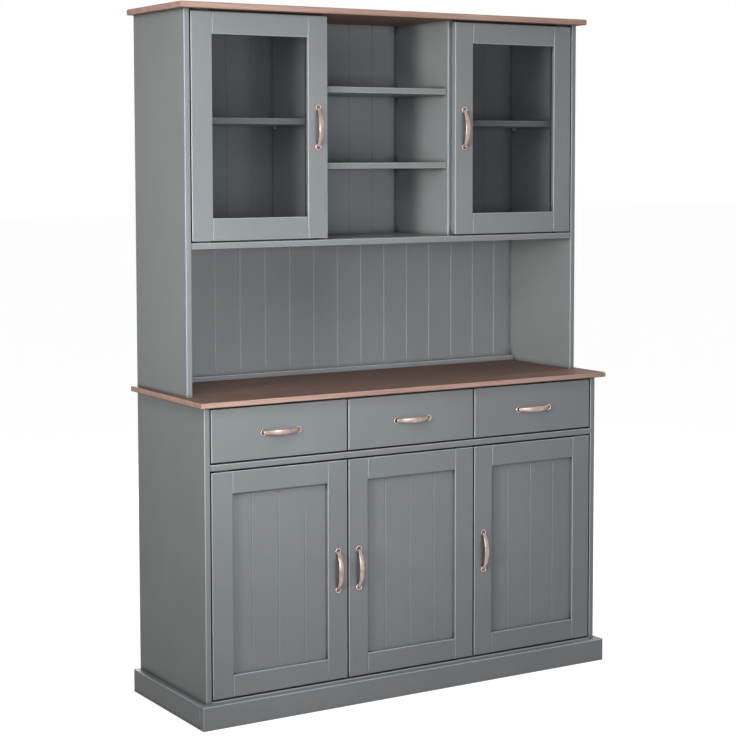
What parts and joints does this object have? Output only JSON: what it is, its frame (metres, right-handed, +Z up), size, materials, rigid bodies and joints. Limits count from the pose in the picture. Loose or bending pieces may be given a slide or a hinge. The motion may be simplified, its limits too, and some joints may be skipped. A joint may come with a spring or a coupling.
{
  "type": "buffet cabinet",
  "caption": "Grey painted buffet cabinet with a drawer and door base, a niche over the worktop, and a hutch with glazed doors beside open shelves.",
  "frame": {"origin": "middle of the footprint on the floor", "axes": "+Z up, -Y towards the doors, +X to the right seen from the front"},
  "size_m": [1.34, 0.442, 1.921],
  "materials": {
    "grey_paint": "satin grey paint on pine",
    "stained_top": "brown stain, clear matt lacquer",
    "bare_pine": "planed pine",
    "bare_board": "thin brown fibreboard",
    "copper": "brushed copper colour",
    "steel": "bright zinc",
    "glass": "clear float glass"
  },
  "bodies": {
    "carcass": {"base_side_left": "grey_paint", "base_side_right": "grey_paint", "base_divider_left": "grey_paint", "base_divider_right": "grey_paint", "hutch_side_left": "grey_paint", "hutch_side_right": "grey_paint", "hutch_divider_left": "grey_paint", "hutch_divider_right": "grey_paint", "base_bottom": "grey_paint", "base_rail": "grey_paint", "base_back": "bare_board", "plinth_front": "grey_paint", "plinth_sides": "grey_paint", "worktop": "stained_top", "hutch_deck": "grey_paint", "hutch_top": "stained_top", "hutch_back_lower": "grey_paint", "hutch_back_upper": "grey_paint", "hutch_back_rail": "grey_paint", "open_shelves": "grey_paint", "base_shelves": "grey_paint", "display_shelves": "grey_paint", "shelf_pins": "steel", "shelf_cleats": "bare_pine", "drawer_runners": "bare_pine", "hinge_leaves": "steel"},
    "drawer_left": {"drawer_left_front": "grey_paint", "drawer_left_box": "bare_pine", "drawer_left_bottom": "bare_board", "drawer_left_handle": "copper"},
    "drawer_middle": {"drawer_middle_front": "grey_paint", "drawer_middle_box": "bare_pine", "drawer_middle_bottom": "bare_board", "drawer_middle_handle": "copper"},
    "drawer_right": {"drawer_right_front": "grey_paint", "drawer_right_box": "bare_pine", "drawer_right_bottom": "bare_board", "drawer_right_handle": "copper"},
    "door_left": {"door_left_frame": "grey_paint", "door_left_panel": "grey_paint", "door_left_handle": "copper", "door_left_hinge_leaves": "steel"},
    "door_middle": {"door_middle_frame": "grey_paint", "door_middle_panel": "grey_paint", "door_middle_handle": "copper", "door_middle_hinge_leaves": "steel"},
    "door_right": {"door_right_frame": "grey_paint", "door_right_panel": "grey_paint", "door_right_handle": "copper", "door_right_hinge_leaves": "steel"},
    "glass_door_left": {"glass_door_left_frame": "grey_paint", "glass_door_left_pane": "glass", "glass_door_left_beads": "grey_paint", "glass_door_left_handle": "copper", "glass_door_left_hinge_leaves": "steel"},
    "glass_door_right": {"glass_door_right_frame": "grey_paint", "glass_door_right_pane": "glass", "glass_door_right_beads": "grey_paint", "glass_door_right_handle": "copper", "glass_door_right_hinge_leaves": "steel"}
  },
  "joints": [
    {"name": "drawer_left_slide", "type": "slide", "parent": "carcass", "child": "drawer_left", "axis": [0, -1, 0], "range_m": [0, 0.23]},
    {"name": "drawer_middle_slide", "type": "slide", "parent": "carcass", "child": "drawer_middle", "axis": [0, -1, 0], "range_m": [0, 0.23]},
    {"name": "drawer_right_slide", "type": "slide", "parent": "carcass", "child": "drawer_right", "axis": [0, -1, 0], "range_m": [0, 0.23]},
    {"name": "door_left_hinge", "type": "hinge", "parent": "carcass", "child": "door_left", "pos_m": [-0.61157, -0.187, 0.3775], "axis": [0, 0, -1], "range_deg": [0, 95]},
    {"name": "door_middle_hinge", "type": "hinge", "parent": "carcass", "child": "door_middle", "pos_m": [0.1904, -0.187, 0.3775], "axis": [0, 0, 1], "range_deg": [0, 95]},
    {"name": "door_right_hinge", "type": "hinge", "parent": "carcass", "child": "door_right", "pos_m": [0.61157, -0.187, 0.3775], "axis": [0, 0, 1], "range_deg": [0, 95]},
    {"name": "glass_door_left_hinge", "type": "hinge", "parent": "carcass", "child": "glass_door_left", "pos_m": [-0.61157, -0.086, 1.5945], "axis": [0, 0, -1], "range_deg": [0, 95]},
    {"name": "glass_door_right_hinge", "type": "hinge", "parent": "carcass", "child": "glass_door_right", "pos_m": [0.61157, -0.086, 1.5945], "axis": [0, 0, 1], "range_deg": [0, 95]}
  ]
}
